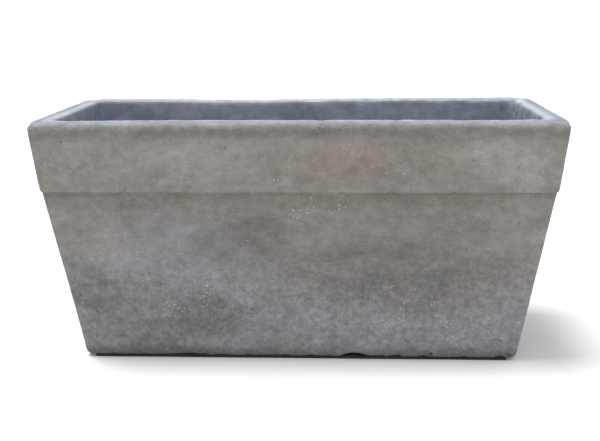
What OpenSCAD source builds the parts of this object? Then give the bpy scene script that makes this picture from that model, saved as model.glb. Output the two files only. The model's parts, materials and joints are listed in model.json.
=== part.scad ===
// Self-watering trough planter: a cast fibre-cement trough with a lift-out wicking insert.
// Millimetres. The origin is on the ground under the middle of the trough, +X runs along its
// length, -Y is the front and +Z is up.

/* [Trough] */
// Length over the rim
rim_length = 800; // [760:10:900]
// Depth over the rim, front to back
rim_depth = 350; // [340:5:400]
// Height from the ground to the top of the rim
total_height = 386; // [378:4:430]
// How far each wall leans in from the rim to the base
wall_lean = 55; // [50:1:58]
// Thickness of the cast wall near the floor
wall = 22; // [20:1:24]
// Thickness of the cast floor
floor_thickness = 21; // [18:1:26]
// Width of the flat top of the rim
rim_width = 35; // [34:1:38]
// Height of the raised band under the rim
band_height = 108; // [90:2:120]
// How far the band leans in over its own height
band_lean = 11; // [8:1:12]
// How far the band stands out from the wall below it
band_step = 3; // [2:1:5]

/* [Reservoir] */
// Height of the water tray
tray_height = 112; // [108:1:118]
// Wall thickness of the water tray
tray_wall = 3; // [2.5:0.5:3.5]
// Gap between the tray and the cast wall
tray_gap = 4; // [3.5:0.5:4.5]
// Thickness of the soil deck
deck_thickness = 3; // [3:0.5:4]
// Distance between the middles of the wick baskets
basket_pitch = 205; // [200:1:210]
// Radius of a wick basket at its top
basket_radius = 45; // [40:1:46]

/* [Filling and gauge] */
// How far the filler and the gauge stand in from the ends of the rim
service_inset = 125; // [124:1:130]
// Outer radius of the fill tube
fill_tube_radius = 20; // [18:1:20]
// Travel of the float from empty to full
float_travel = 70; // [60:1:70]

/* [Overflow and drain] */
// Height of the middle of the overflow outlet
overflow_z = 112; // [108:1:113]
// Height of the middle of the drain
drain_z = 46; // [46:0.5:48]
// Radius of the hose tail, for a 16 mm hose
hose_radius = 8; // [7.5:0.5:8.5]

/* [Hidden] */
STRIP_NAMES = ["foot_strip_front", "foot_strip_back", "foot_strip_left", "foot_strip_right"];
column_count = 6;
BASKET_NAMES = ["wick_basket_left", "wick_basket_middle", "wick_basket_right"];
$fn = 64;

half_length = rim_length / 2;
half_depth = rim_depth / 2;
strip_height = 5;
strip_width = 14;
base_z = strip_height;
floor_z = base_z + floor_thickness;
band_z = total_height - band_height;
deck_z = floor_z + tray_height;
deck_top = deck_z + deck_thickness;
tray_floor_z = floor_z + tray_wall;
cut = 1;            // how far a cutting shape runs past the surface it cuts
slip = 0.1;         // radial clearance of parts that slide together
corner_steps = 6;   // facets in each rounded vertical corner
corner_radius = 16;
lower_corner_radius = 13;
inner_corner_radius = 20;

// Corner order and signs of a rounded rectangle, anticlockwise from +X +Y
CORNER_X = [1, -1, -1, 1];
CORNER_Y = [1, 1, -1, -1];

// ---- Wall surfaces, as the distance in from the rim's outline at height z ----

function outer_inset(z) =
    z < band_z
        ? band_lean + band_step
            + (wall_lean - band_lean - band_step) * (band_z - z) / (band_z - base_z)
        : band_lean * (total_height - z) / band_height;
floor_inset = outer_inset(floor_z) + wall;   // of the cast wall's inner face at the floor
function inner_inset(z) =
    z < band_z
        ? rim_width + (floor_inset - rim_width) * (band_z - z) / (band_z - floor_z)
        : rim_width;
function tray_inset(z) = inner_inset(z) + tray_gap;

// What stands on the tray's flat floor keeps its outline inside these half sizes
tray_edge_radius = 8;
flat_inset = floor_inset + tray_gap + tray_wall + tray_edge_radius + 1;
flat_half_length = half_length - flat_inset;
flat_half_depth = half_depth - flat_inset;

column_radius = 14;
column_wall = 2.5;
column_foot_radius = 19;
cage_radius = 21.5;
column_y = flat_half_depth - column_foot_radius;
end_column_y = 38;
end_column_x = flat_half_length - column_foot_radius;
service_x = half_length - service_inset;
service_y = cage_radius - flat_half_depth;
basket_y = 15;

BASKETS = [for (i = [-1:1]) [i * basket_pitch, basket_y]];
FILLER = [-service_x, service_y];
GAUGE = [service_x, service_y];
COLUMNS = concat(
    [for (y = [-1, 1]) for (x = [-1, 1]) [x * basket_pitch / 2, y * column_y]],
    [for (x = [-1, 1]) [x * end_column_x, end_column_y]]
);

// Quarter round in the inset-height plane, from angle a to angle b about [inset, z]
function quarter(inset, z, r, a, b, n = 4) =
    [for (k = [0:n]) let (t = a + (b - a) * k / n) [inset + r * cos(t), z + r * sin(t)]];

// ---- Lofting ----

function ring(inset, z, r) = [
    for (c = [0:3]) for (i = [0:corner_steps])
        let (a = 90 * (c + i / corner_steps))
        [
            CORNER_X[c] * (half_length - inset - r) + r * cos(a),
            CORNER_Y[c] * (half_depth - inset - r) + r * sin(a),
            z
        ]
];

// Skin over rounded rectangles. Each profile row is [inset, z, corner radius].
module loft(profile) {
    rings = [for (p = profile) ring(p[0], p[1], p[2])];
    n = len(rings[0]);
    last = len(rings) - 1;
    polyhedron(
        points = [for (r = rings) each r],
        faces = concat(
            [[for (i = [0:n - 1]) i]],
            [[for (i = [0:n - 1]) last * n + n - 1 - i]],
            [for (k = [0:last - 1]) for (i = [0:n - 1])
                let (j = (i + 1) % n)
                [k * n + i, (k + 1) * n + i, (k + 1) * n + j, k * n + j]]
        )
    );
}

// Adds the corner radius that keeps a profile's corners concentric
function with_corners(points, r_low, r_high) = [
    for (p = points)
        let (high = p[1] >= band_z, surface = outer_inset(p[1]))
        [p[0], p[1], high ? r_high - (p[0] - surface) : r_low - max(0, p[0] - surface)]
];
function with_inner_corners(points, extra = 0) = [
    for (p = points) [p[0], p[1], inner_corner_radius - 4 - (p[0] - inner_inset(p[1]) - extra)]
];

// Flat rounded rectangle at a distance in from the rim's outline
module plan(inset, r) {
    square([2 * (half_length - inset), 2 * (half_depth - inset - r)], center = true);
    square([2 * (half_length - inset - r), 2 * (half_depth - inset)], center = true);
    for (x = [-1, 1]) for (y = [-1, 1])
        translate([x * (half_length - inset - r), y * (half_depth - inset - r)]) circle(r);
}

// A cylinder along +Y, from y to y + length, with its axis at x, z
module along_y(x, y, z, r, length) {
    translate([x, y, z]) rotate([-90, 0, 0]) cylinder(r = r, h = length);
}

// A tube standing on z
module tube(x, y, z, r_out, r_in, h) {
    translate([x, y, z]) difference() {
        cylinder(r = r_out, h = h);
        translate([0, 0, -cut]) cylinder(r = r_in, h = h + 2 * cut);
    }
}

// Slots cut straight through the Z axis, evenly turned, from z up
module cross_slots(count, width, reach, z, height, turn = 0) {
    for (i = [0:count - 1]) rotate(turn + 180 * i / count)
        translate([-reach, -width / 2, z]) cube([2 * reach, width, height]);
}

// A ring of small drain holes, cut from z up
module hole_ring(count, pitch_radius, r, z, height) {
    for (i = [0:count - 1]) rotate(360 * i / count) translate([pitch_radius, 0, z])
        cylinder(r = r, h = height, $fn = 24);
}

// ---- Cast trough ----

base_edge_radius = 4;
rim_edge_radius = 10;
rim_inner_radius = 8;
band_edge_radius = 3;
floor_edge_radius = 10;
overflow_x = 200;
drain_x = -200;
// Flat seats sunk into the sloping wall, so that a washer bears all round
overflow_seat_radius = 20;
drain_seat_radius = 18;
seat_sink = 1.5;
overflow_seat_y = half_depth - outer_inset(overflow_z - overflow_seat_radius) - seat_sink;
drain_seat_y = half_depth - outer_inset(drain_z - drain_seat_radius) - seat_sink;
body_bore_radius = 11;
chip_x = 88;
chip_width = 46;
chip_height = 7;
chip_depth = 18;

outer_profile = with_corners(
    concat(
        quarter(outer_inset(base_z + base_edge_radius) + base_edge_radius,
                base_z + base_edge_radius, base_edge_radius, 270, 180),
        [[outer_inset(band_z - 0.001), band_z - 0.001]],
        quarter(band_lean + band_edge_radius, band_z + band_edge_radius, band_edge_radius, 270, 180, 3),
        quarter(rim_edge_radius, total_height - rim_edge_radius, rim_edge_radius, 180, 90)
    ),
    lower_corner_radius, corner_radius
);
cavity_profile = with_inner_corners(
    concat(
        quarter(inner_inset(floor_z + floor_edge_radius) + floor_edge_radius,
                floor_z + floor_edge_radius, floor_edge_radius, 270, 180),
        [[rim_width, band_z]],
        quarter(rim_width - rim_inner_radius, total_height - rim_inner_radius, rim_inner_radius, 0, 90),
        [[rim_width - rim_inner_radius, total_height + cut]]
    )
);

module planter_body() {
    chip_radius = (pow(chip_width / 2, 2) + pow(chip_height, 2)) / (2 * chip_height);
    color("gray") difference() {
        loft(outer_profile);
        loft(cavity_profile);
        for (hole = [[overflow_x, overflow_z], [drain_x, drain_z]])
            along_y(hole[0], 0, hole[1], body_bore_radius, half_depth);
        along_y(overflow_x, overflow_seat_y, overflow_z, overflow_seat_radius, half_depth);
        along_y(drain_x, drain_seat_y, drain_z, drain_seat_radius, half_depth);
        along_y(chip_x, -half_depth, base_z + chip_height - chip_radius, chip_radius,
                outer_inset(base_z) + chip_depth);
    }
}

// Rubber strip under the base's edge, with two grip grooves along it. The long ones run along
// the front and the back, and the short ones fit between them at the ends.
module foot_strip(i) {
    inset = wall_lean + base_edge_radius;
    groove = [2, 1];
    is_long = i < 2;
    half = is_long ? half_length - inset - lower_corner_radius
                   : half_depth - inset - strip_width - 2;
    outer = (is_long ? half_depth : half_length) - inset;
    color("black") rotate([180, 0, 90, -90][i]) difference() {
        translate([-half, outer - strip_width, 0]) cube([2 * half, strip_width, strip_height]);
        for (k = [1, 2])
            translate([-half - cut, outer - (k * strip_width + groove[0]) / 3, -cut])
                cube([2 * half + 2 * cut, groove[0], groove[1] + cut]);
    }
}

// ---- Water tray ----

tray_lip = 2.5;
tray_lip_height = 4;
overflow_boss_length = 6.5;
drain_boss_length = 8.4;
overflow_boss_radius = 17.5;
drain_boss_radius = 16.5;
overflow_boss_y = half_depth - tray_inset(overflow_z - overflow_boss_radius) - tray_wall - 0.7;
drain_boss_y = half_depth - tray_inset(drain_z - drain_boss_radius) - tray_wall - 3;

function tray_profile(thickness, low) =
    with_inner_corners(
        quarter(tray_inset(low + tray_edge_radius) + thickness + tray_edge_radius,
                low + tray_edge_radius, tray_edge_radius, 270, 180),
        tray_gap + thickness
    );
tray_outside = concat(
    tray_profile(0, floor_z),
    with_inner_corners(
        [for (p = [[0, tray_lip_height], [tray_lip, tray_lip_height], [tray_lip, 0]])
            [tray_inset(deck_z - p[1]) - p[0], deck_z - p[1]]],
        tray_gap)
);
tray_inside = concat(
    tray_profile(tray_wall, tray_floor_z),
    with_inner_corners([[tray_inset(deck_z + cut) + tray_wall, deck_z + cut]], tray_gap + tray_wall)
);

module reservoir_tray() {
    color("darkslategray") difference() {
        union() {
            difference() {
                loft(tray_outside);
                loft(tray_inside);
            }
            along_y(overflow_x, overflow_boss_y, overflow_z, overflow_boss_radius,
                    overflow_boss_length);
            along_y(drain_x, drain_boss_y, drain_z, drain_boss_radius, drain_boss_length);
        }
        along_y(overflow_x, overflow_boss_y - cut, overflow_z, overflow_shank_radius + 0.3, 30);
        along_y(drain_x, drain_boss_y - cut, drain_z, drain_shank_radius + 0.3, 30);
    }
}

// ---- Soil deck and what carries it ----

deck_inset = inner_inset(deck_z) + 2.5;
deck_corner_radius = 15;
skirt_depth = 8;
skirt_wall = 2.5;
skirt_corner_radius = inner_corner_radius - 5;
skirt_inset = tray_inset(deck_z - skirt_depth) + tray_wall + 1;
slot_length = 18;
slot_width = 4;
slot_pitch = [36, 18];
socket_wall = 2.9;
socket_depth = 10;
boss_wall = 4;
boss_height = 14;
rib_width = 2.5;

function far_from(p, centres, gap) = min([for (c = centres) norm(p - c)]) > gap;
function slot_fits(p) =
    far_from(p, BASKETS, basket_radius + 20)
    && far_from(p, COLUMNS, column_radius + 16)
    && far_from(p, [FILLER, GAUGE], cage_radius + 19)
    && abs(p[0]) < half_length - deck_inset - 18
    && abs(p[1]) < half_depth - deck_inset - 12;

// A slot with round ends, lying along X
module slot_shape(length, width) {
    square([length - width, width], center = true);
    for (x = [-1, 1]) translate([x * (length - width) / 2, 0]) circle(d = width, $fn = 24);
}

module deck_plate() {
    columns = floor((half_length - deck_inset) / slot_pitch[0]);
    rows = floor((half_depth - deck_inset) / slot_pitch[1]);
    linear_extrude(deck_thickness) difference() {
        plan(deck_inset, deck_corner_radius);
        for (b = BASKETS) translate(b) circle(basket_radius + 1);
        translate(FILLER) circle(fill_tube_radius + slip);
        translate(GAUGE) circle(cage_radius + 0.5);
        for (i = [-columns:columns]) for (j = [-rows:rows])
            let (p = [i * slot_pitch[0], j * slot_pitch[1]])
            if (slot_fits(p)) translate(p) slot_shape(slot_length, slot_width);
    }
}

module deck_ribs() {
    reach = half_depth - skirt_inset - skirt_wall / 2;
    difference() {
        for (x = [-1, 1]) translate([x * basket_pitch / 2 - rib_width / 2, -reach, 0])
            cube([rib_width, 2 * reach, skirt_depth]);
        for (c = COLUMNS) translate([c[0], c[1], -cut])
            cylinder(r = column_radius + slip, h = skirt_depth + 2 * cut);
    }
}

module soil_deck() {
    color("dimgray") {
        translate([0, 0, deck_z]) deck_plate();
        translate([0, 0, deck_z - skirt_depth]) {
            linear_extrude(skirt_depth) difference() {
                plan(skirt_inset, skirt_corner_radius);
                plan(skirt_inset + skirt_wall, skirt_corner_radius - skirt_wall);
            }
            deck_ribs();
        }
        for (c = COLUMNS)
            tube(c[0], c[1], deck_z - socket_depth, column_radius + slip + socket_wall,
                 column_radius + slip, socket_depth);
        tube(FILLER[0], FILLER[1], deck_top, fill_tube_radius + slip + boss_wall,
             fill_tube_radius + slip, boss_height);
    }
}

// Hollow column with a foot and four water gates, plugged into the deck's socket
module support_column(i) {
    height = deck_z - tray_floor_z;
    color("dimgray") translate([COLUMNS[i][0], COLUMNS[i][1], tray_floor_z]) difference() {
        union() {
            cylinder(r = column_radius, h = height);
            cylinder(r = column_foot_radius, h = 3);
        }
        translate([0, 0, -cut]) cylinder(r = column_radius - column_wall, h = height + 2 * cut);
        cross_slots(2, 8, column_radius + 2, 6, 14);
    }
}

// Soft sheet over the deck that keeps soil out of the slots
fleece_thickness = 2;
module root_fleece() {
    color("silver") translate([0, 0, deck_top]) linear_extrude(fleece_thickness) difference() {
        plan(deck_inset + 3, deck_corner_radius - 3);
        for (b = BASKETS) translate(b) circle(basket_radius + 8);
        translate(FILLER) circle(fill_tube_radius + boss_wall + 2);
        translate(GAUGE) circle(gauge_flange_radius + 1);
    }
}

basket_wall = 2.2;
basket_flange = 7;
basket_flange_height = 2;
basket_bottom_radius = basket_radius - 11;
basket_low_z = tray_floor_z + 3;
basket_slot_height = 34;

// Slotted cup that carries soil down into the water
module wick_basket(i) {
    height = deck_top - basket_low_z;
    inner_low = basket_bottom_radius - basket_wall;
    inner_high = basket_radius - basket_wall;
    color("dimgray") translate([BASKETS[i][0], BASKETS[i][1], basket_low_z]) difference() {
        union() {
            cylinder(r1 = basket_bottom_radius, r2 = basket_radius, h = height);
            translate([0, 0, height])
                cylinder(r = basket_radius + basket_flange, h = basket_flange_height);
        }
        translate([0, 0, basket_wall])
            cylinder(r1 = inner_low, r2 = inner_high, h = height - basket_wall);
        translate([0, 0, height - 0.01]) cylinder(r = inner_high, h = basket_flange_height + cut);
        for (tier = [0, 1])
            cross_slots(5, 4, basket_radius + 5, 14 + tier * (basket_slot_height + 10),
                        basket_slot_height, 18 * tier);
        hole_ring(6, 20, 3, -cut, basket_wall + 2 * cut);
        hole_ring(1, 0, 3, -cut, basket_wall + 2 * cut);
    }
}

// ---- Filler ----

tube_top_z = total_height - 38;
fill_tube_wall = 2.5;
fill_tube_bore = fill_tube_radius - fill_tube_wall;
funnel_radius = fill_tube_radius + 11.5;
funnel_top_z = tube_top_z + 14;
funnel_mouth = funnel_radius - 2.5;
lid_thickness = 3;
hinge_x = -(funnel_radius + 4.5);
hinge_z = funnel_top_z + 2;
knuckle_radius = 4;
knuckle_length = 12;
pin_radius = 1.5;
ear_gap = 0.3;
ear_thickness = 3.7;
ear_radius = 4.5;
lip_height = 3.5;

module at_filler() {
    translate([FILLER[0], FILLER[1], 0]) children();
}

module fill_tube() {
    color("gray") difference() {
        tube(FILLER[0], FILLER[1], tray_floor_z, fill_tube_radius, fill_tube_bore,
             tube_top_z - tray_floor_z);
        at_filler() cross_slots(3, 12, fill_tube_radius + 2, tray_floor_z - cut, 20 + cut, 30);
    }
}

module fill_funnel() {
    sleeve = fill_tube_radius + slip;
    ear_y = knuckle_length / 2 + ear_gap;
    color("dimgray") at_filler() difference() {
        union() {
            rotate_extrude() polygon([
                [sleeve, tube_top_z - 20], [sleeve + 2.9, tube_top_z - 20],
                [sleeve + 2.9, tube_top_z - 3], [funnel_radius, tube_top_z + 7],
                [funnel_radius, funnel_top_z], [funnel_mouth, funnel_top_z],
                [funnel_mouth, tube_top_z + 8], [fill_tube_bore + 1, tube_top_z + 1.2],
                [fill_tube_bore + 1, tube_top_z], [sleeve, tube_top_z]
            ]);
            for (side = [-1, 1]) {
                y = side > 0 ? ear_y : -ear_y - ear_thickness;
                along_y(hinge_x, y, hinge_z, ear_radius, ear_thickness);
                translate([hinge_x - ear_radius, y, funnel_top_z - 6])
                    cube([2 * ear_radius + 3, ear_thickness, 6]);
            }
        }
        along_y(hinge_x, -20, hinge_z, pin_radius, 40);
        translate([0, 0, tube_top_z + 8]) cylinder(r = funnel_mouth, h = 20);
    }
}

module fill_strainer() {
    cup = fill_tube_bore - 1;
    cup_wall = 1.6;
    cup_depth = 28;
    bottom_z = tube_top_z - cup_depth;
    cone_slope = 6.8 / (funnel_mouth - fill_tube_bore - 1);
    flange_z = tube_top_z + 1.25 + cone_slope * (cup + 5 - fill_tube_bore - 1);
    color("silver") at_filler() difference() {
        union() {
            translate([0, 0, bottom_z]) cylinder(r = cup, h = flange_z - bottom_z + cut);
            translate([0, 0, flange_z]) cylinder(r = cup + 5, h = 1.5);
        }
        translate([0, 0, bottom_z + 2]) cylinder(r = cup - cup_wall, h = 2 * cup_depth);
        cross_slots(4, 2.4, cup + 2, bottom_z + 6, cup_depth - 10);
        hole_ring(6, 8, 2, bottom_z - cut, 2 + 2 * cut);
    }
}

module filler_lid() {
    color("dimgray") at_filler() difference() {
        union() {
            translate([0, 0, funnel_top_z]) {
                cylinder(r = funnel_radius, h = lid_thickness);
                translate([funnel_radius - 1.5, 0, 0]) cylinder(r = 8, h = lid_thickness);
                translate([hinge_x, -knuckle_length / 2, 0]) cube([12, knuckle_length, lid_thickness]);
            }
            along_y(hinge_x, -knuckle_length / 2, hinge_z, knuckle_radius, knuckle_length);
            translate([0, 0, funnel_top_z - lip_height])
                cylinder(r = funnel_mouth - 0.7, h = lip_height);
            translate([-3, 0, funnel_top_z + lid_thickness]) linear_extrude(0.8) hull() {
                circle(7);
                translate([16, 0]) circle(0.5);
            }
        }
        translate([0, 0, funnel_top_z - lip_height - cut])
            cylinder(r = funnel_mouth - 2.7, h = lip_height + cut);
        along_y(hinge_x, -knuckle_length, hinge_z, pin_radius + 0.08, 2 * knuckle_length);
    }
}

module lid_hinge_pin() {
    reach = knuckle_length / 2 + ear_gap + ear_thickness;
    color("lightgray") at_filler() {
        along_y(hinge_x, -reach, hinge_z, pin_radius, 2 * reach + 0.6);
        along_y(hinge_x, -reach - 1.2, hinge_z, 2.6, 1.2);
    }
}

// ---- Water gauge ----

gauge_flange_radius = 27;
gauge_flange_height = 2.5;
cage_wall = 2;
cage_low_z = tray_floor_z + 2;
gauge_base_z = deck_top + gauge_flange_height;
float_radius = cage_radius - cage_wall - 1;
float_height = 30;
float_low_z = cage_low_z + cage_wall + 0.2;
rod_radius = 2;
glue_gap = 0.05;
sight_radius = 12;
sight_wall = 2;
socket_rise = 14;
sight_low_z = gauge_base_z + 2.5;
pointer_radius = 8;
cap_inner_radius = sight_radius - sight_wall + 0.2;
cap_radius = 14.5;
cap_centre_z = tube_top_z + 11.3;
pointer_ball_z = cap_centre_z + 0.7 - float_travel;

module at_gauge(z) {
    translate([GAUGE[0], GAUGE[1], z]) children();
}

module float_cage() {
    height = deck_top - cage_low_z;
    color("dimgray") at_gauge(cage_low_z) difference() {
        union() {
            cylinder(r = cage_radius, h = height);
            translate([0, 0, height]) cylinder(r = gauge_flange_radius, h = gauge_flange_height);
        }
        translate([0, 0, cage_wall])
            cylinder(r = cage_radius - cage_wall, h = height + gauge_flange_height);
        cross_slots(4, 4, cage_radius + 2, 8, height - 30);
        hole_ring(4, 11, 3, -cut, cage_wall + 2 * cut);
    }
}

// Cover of the cage: it guides the rod and holds the sight tube
module gauge_base() {
    color("dimgray") at_gauge(gauge_base_z) difference() {
        union() {
            cylinder(r = gauge_flange_radius, h = 2.5);
            cylinder(r = sight_radius + slip + 3, h = 2.5 + socket_rise);
        }
        translate([0, 0, 2.5]) cylinder(r = sight_radius + slip, h = socket_rise + cut);
        translate([0, 0, -cut]) cylinder(r = rod_radius + 0.4, h = 10);
    }
}

module sight_tube() {
    color("lightcyan", 0.5) tube(GAUGE[0], GAUGE[1], sight_low_z, sight_radius,
                                 sight_radius - sight_wall, tube_top_z - sight_low_z);
}

module gauge_cap() {
    sleeve = sight_radius + slip;
    arc_points = [0:15:90];
    color("lightcyan", 0.5) at_gauge(0) rotate_extrude() polygon(concat(
        [[sleeve, tube_top_z], [sleeve, tube_top_z - 14], [cap_radius, tube_top_z - 14],
         [cap_radius, tube_top_z - 9], [cap_radius - 0.8, tube_top_z - 8]],
        [for (a = arc_points)
            [(cap_inner_radius + 2) * cos(a), cap_centre_z + (cap_inner_radius + 2) * sin(a)]],
        [for (a = arc_points)
            [cap_inner_radius * sin(a), cap_centre_z + cap_inner_radius * cos(a)]],
        [[cap_inner_radius, tube_top_z]]
    ));
}

module gauge_float() {
    color("ivory") at_gauge(float_low_z) difference() {
        rotate_extrude() polygon([
            [0, 0], [float_radius - 2, 0], [float_radius, 2], [float_radius, float_height - 4],
            [float_radius - 4, float_height], [0, float_height]
        ]);
        translate([0, 0, float_height - 20]) cylinder(r = rod_radius + glue_gap, h = 20 + cut);
    }
}

module float_rod() {
    low = float_low_z + float_height - 20;
    color("white") at_gauge(low) cylinder(r = rod_radius, h = pointer_ball_z - 2 - low);
}

module level_pointer() {
    skirt = 10;
    color("red") at_gauge(pointer_ball_z) difference() {
        union() {
            sphere(r = pointer_radius);
            translate([0, 0, -skirt]) cylinder(r = pointer_radius, h = skirt);
        }
        translate([0, 0, -skirt - cut]) cylinder(r = rod_radius + glue_gap, h = skirt - 2 + cut);
    }
}

// ---- Overflow, through the back wall ----

gasket_thickness = 2;
flange_thickness = 3;
overflow_shank_radius = 10;
overflow_bore = 6.5;
overflow_flange_radius = 17;
spigot_radius = 8.5;
overflow_flange_y = overflow_boss_y - gasket_thickness - flange_thickness;
overflow_nut_y = overflow_seat_y + gasket_thickness;
overflow_thread_end = overflow_nut_y + 11;
hose_tail_length = 18;
thread_pitch = 2;
thread_depth = 0.6;

// A hexagonal or round ring along Y is cut by its bore
module ring_along_y(x, y, z, r_out, r_in, length, sides = 64) {
    translate([x, y, z]) rotate([-90, 0, 0]) difference() {
        cylinder(r = r_out, h = length, $fn = sides);
        translate([0, 0, -cut]) cylinder(r = r_in, h = length + 2 * cut);
    }
}

// Grooves that stand for a screw thread, between two points along Y
module thread_grooves(x, from_y, to_y, z, r) {
    for (y = [from_y + thread_pitch:thread_pitch:to_y - 1.2])
        ring_along_y(x, y, z, r + cut, r - thread_depth, thread_pitch / 3);
}

module overflow_fitting() {
    x = overflow_x;
    z = overflow_z;
    color("dimgray") difference() {
        union() {
            along_y(x, overflow_flange_y - 8, z, spigot_radius, 9);
            along_y(x, overflow_flange_y, z, overflow_flange_radius, flange_thickness);
            along_y(x, overflow_flange_y, z, overflow_shank_radius,
                    overflow_thread_end - overflow_flange_y);
            along_y(x, overflow_thread_end - cut, z, hose_radius, hose_tail_length + cut);
        }
        along_y(x, overflow_flange_y - 10, z, overflow_bore, 100);
        thread_grooves(x, overflow_nut_y + 7, overflow_thread_end, z, overflow_shank_radius);
    }
}

module overflow_gasket() {
    color("black") ring_along_y(overflow_x, overflow_boss_y - gasket_thickness, overflow_z,
                                overflow_flange_radius, overflow_shank_radius + slip, gasket_thickness);
}

module overflow_washer() {
    color("black") ring_along_y(overflow_x, overflow_seat_y, overflow_z,
                                overflow_flange_radius, overflow_shank_radius + slip, gasket_thickness);
}

module overflow_nut() {
    color("dimgray") ring_along_y(overflow_x, overflow_nut_y, overflow_z,
                                  overflow_flange_radius, overflow_shank_radius + 0.05, 7.5, 6);
}

// Slotted cap over the inner end of the overflow
module overflow_strainer() {
    length = 20;
    color("silver") translate([overflow_x, overflow_flange_y, overflow_z]) rotate([90, 0, 0])
        difference() {
            cylinder(r = spigot_radius + 2, h = length);
            translate([0, 0, -cut]) cylinder(r = spigot_radius + 0.05, h = length - 2 + cut);
            cross_slots(4, 2, spigot_radius + 4, 9, length - 13);
        }
}

// ---- Drain, through the back wall ----

drain_shank_radius = 9.5;
drain_bore = 7;
seat_gap = 0.01;      // keeps a seated face and its seat in separate planes
drain_flange_radius = 15;
drain_flange_y = drain_boss_y - gasket_thickness - flange_thickness;
drain_nut_y = drain_seat_y + gasket_thickness;
drain_end_y = drain_nut_y + 9.5;
plug_shank_length = 14;
plug_head_radius = 11;
plug_head_length = 6;
plug_head_y = drain_end_y + gasket_thickness;

module drain_bushing() {
    color("dimgray") difference() {
        union() {
            along_y(drain_x, drain_flange_y, drain_z, drain_flange_radius, flange_thickness);
            along_y(drain_x, drain_flange_y, drain_z, drain_shank_radius,
                    drain_end_y - drain_flange_y);
        }
        along_y(drain_x, drain_flange_y - cut, drain_z, drain_bore, 100);
    }
}

module drain_gasket() {
    color("black") ring_along_y(drain_x, drain_boss_y - gasket_thickness, drain_z,
                                drain_flange_radius, drain_shank_radius + slip, gasket_thickness);
}

module drain_washer() {
    color("black") ring_along_y(drain_x, drain_seat_y, drain_z,
                                drain_flange_radius, drain_shank_radius + slip, gasket_thickness);
}

module drain_nut() {
    color("dimgray") ring_along_y(drain_x, drain_nut_y, drain_z,
                                  drain_flange_radius + 1, drain_shank_radius + 0.05, 7.5, 6);
}

module drain_plug_seal() {
    color("black") ring_along_y(drain_x, drain_end_y + seat_gap, drain_z, plug_head_radius - 1,
                                drain_bore, gasket_thickness - 2 * seat_gap);
}

module drain_plug() {
    grip = [21, 11, 4];
    color("dimgray") difference() {
        union() {
            along_y(drain_x, drain_end_y - plug_shank_length, drain_z, drain_bore - 0.08,
                    plug_shank_length + gasket_thickness + cut);
            along_y(drain_x, plug_head_y, drain_z, plug_head_radius, plug_head_length);
            translate([drain_x - grip[0] / 2, plug_head_y + plug_head_length - cut, drain_z - grip[2] / 2])
                cube([grip[0], grip[1] + cut, grip[2]]);
        }
        thread_grooves(drain_x, drain_end_y - plug_shank_length, drain_end_y, drain_z, drain_bore - 0.08);
    }
}

// ---- What is drawn ----

planter_body();
reservoir_tray();
soil_deck();
root_fleece();
for (i = [0:len(STRIP_NAMES) - 1])
    foot_strip(i);
for (i = [0:column_count - 1])
    support_column(i);
for (i = [0:len(BASKETS) - 1])
    wick_basket(i);
fill_tube();
fill_funnel();
fill_strainer();
filler_lid();
lid_hinge_pin();
float_cage();
gauge_base();
sight_tube();
gauge_cap();
gauge_float();
float_rod();
level_pointer();
overflow_fitting();
overflow_gasket();
overflow_washer();
overflow_nut();
overflow_strainer();
drain_bushing();
drain_gasket();
drain_washer();
drain_nut();
drain_plug_seal();
drain_plug();
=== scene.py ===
"""Looks of a self-watering trough planter: cast fibre cement outside, a lift-out wicking insert inside.

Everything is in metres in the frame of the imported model: +X along the trough, -Y its front, +Z up.
"""
import json
import math
from functools import reduce
from types import SimpleNamespace

import bmesh
import bpy
import numpy as np
from mathutils import Matrix, Vector, geometry, noise


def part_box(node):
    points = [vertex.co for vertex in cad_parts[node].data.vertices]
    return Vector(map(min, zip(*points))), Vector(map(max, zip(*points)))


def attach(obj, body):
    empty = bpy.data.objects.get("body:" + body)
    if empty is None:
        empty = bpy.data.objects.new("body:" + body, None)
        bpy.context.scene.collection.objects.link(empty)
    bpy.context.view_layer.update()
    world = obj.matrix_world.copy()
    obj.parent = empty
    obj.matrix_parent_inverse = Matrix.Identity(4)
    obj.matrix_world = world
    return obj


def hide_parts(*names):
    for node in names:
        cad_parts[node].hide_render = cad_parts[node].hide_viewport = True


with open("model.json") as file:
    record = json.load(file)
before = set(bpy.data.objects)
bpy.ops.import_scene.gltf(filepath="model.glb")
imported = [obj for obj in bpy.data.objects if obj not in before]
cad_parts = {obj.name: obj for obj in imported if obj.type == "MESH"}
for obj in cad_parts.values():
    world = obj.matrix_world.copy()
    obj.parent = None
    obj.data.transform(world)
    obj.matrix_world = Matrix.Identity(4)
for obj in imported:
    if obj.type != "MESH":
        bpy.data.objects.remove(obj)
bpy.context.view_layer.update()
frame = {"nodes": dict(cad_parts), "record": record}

# ---- Driving sizes of the cast trough ----

BODY_LOW, BODY_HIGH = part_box("planter_body")
HALF_LENGTH = BODY_HIGH.x
HALF_DEPTH = BODY_HIGH.y
BASE_Z = BODY_LOW.z
TOP_Z = BODY_HIGH.z
FLOOR_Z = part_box("reservoir_tray")[0].z
DECK_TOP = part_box("root_fleece")[0].z
BAND_HEIGHT = 0.108
BAND_Z = TOP_Z - BAND_HEIGHT
BAND_LEAN = 0.011
BAND_STEP = 0.003
WALL_LEAN = 0.055
WALL = 0.022
RIM_WIDTH = 0.035
CORNER_RADIUS = 0.016
LOWER_CORNER_RADIUS = 0.013
INNER_CORNER_RADIUS = 0.016
BASE_EDGE = 0.004
BAND_EDGE = 0.003
RIM_EDGE = 0.010
RIM_INNER_EDGE = 0.008
FLOOR_EDGE = 0.010
BORE_RADIUS = 0.011
SEAT_MARGIN = 0.003    # how far a flat seat reaches past its washer


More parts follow.
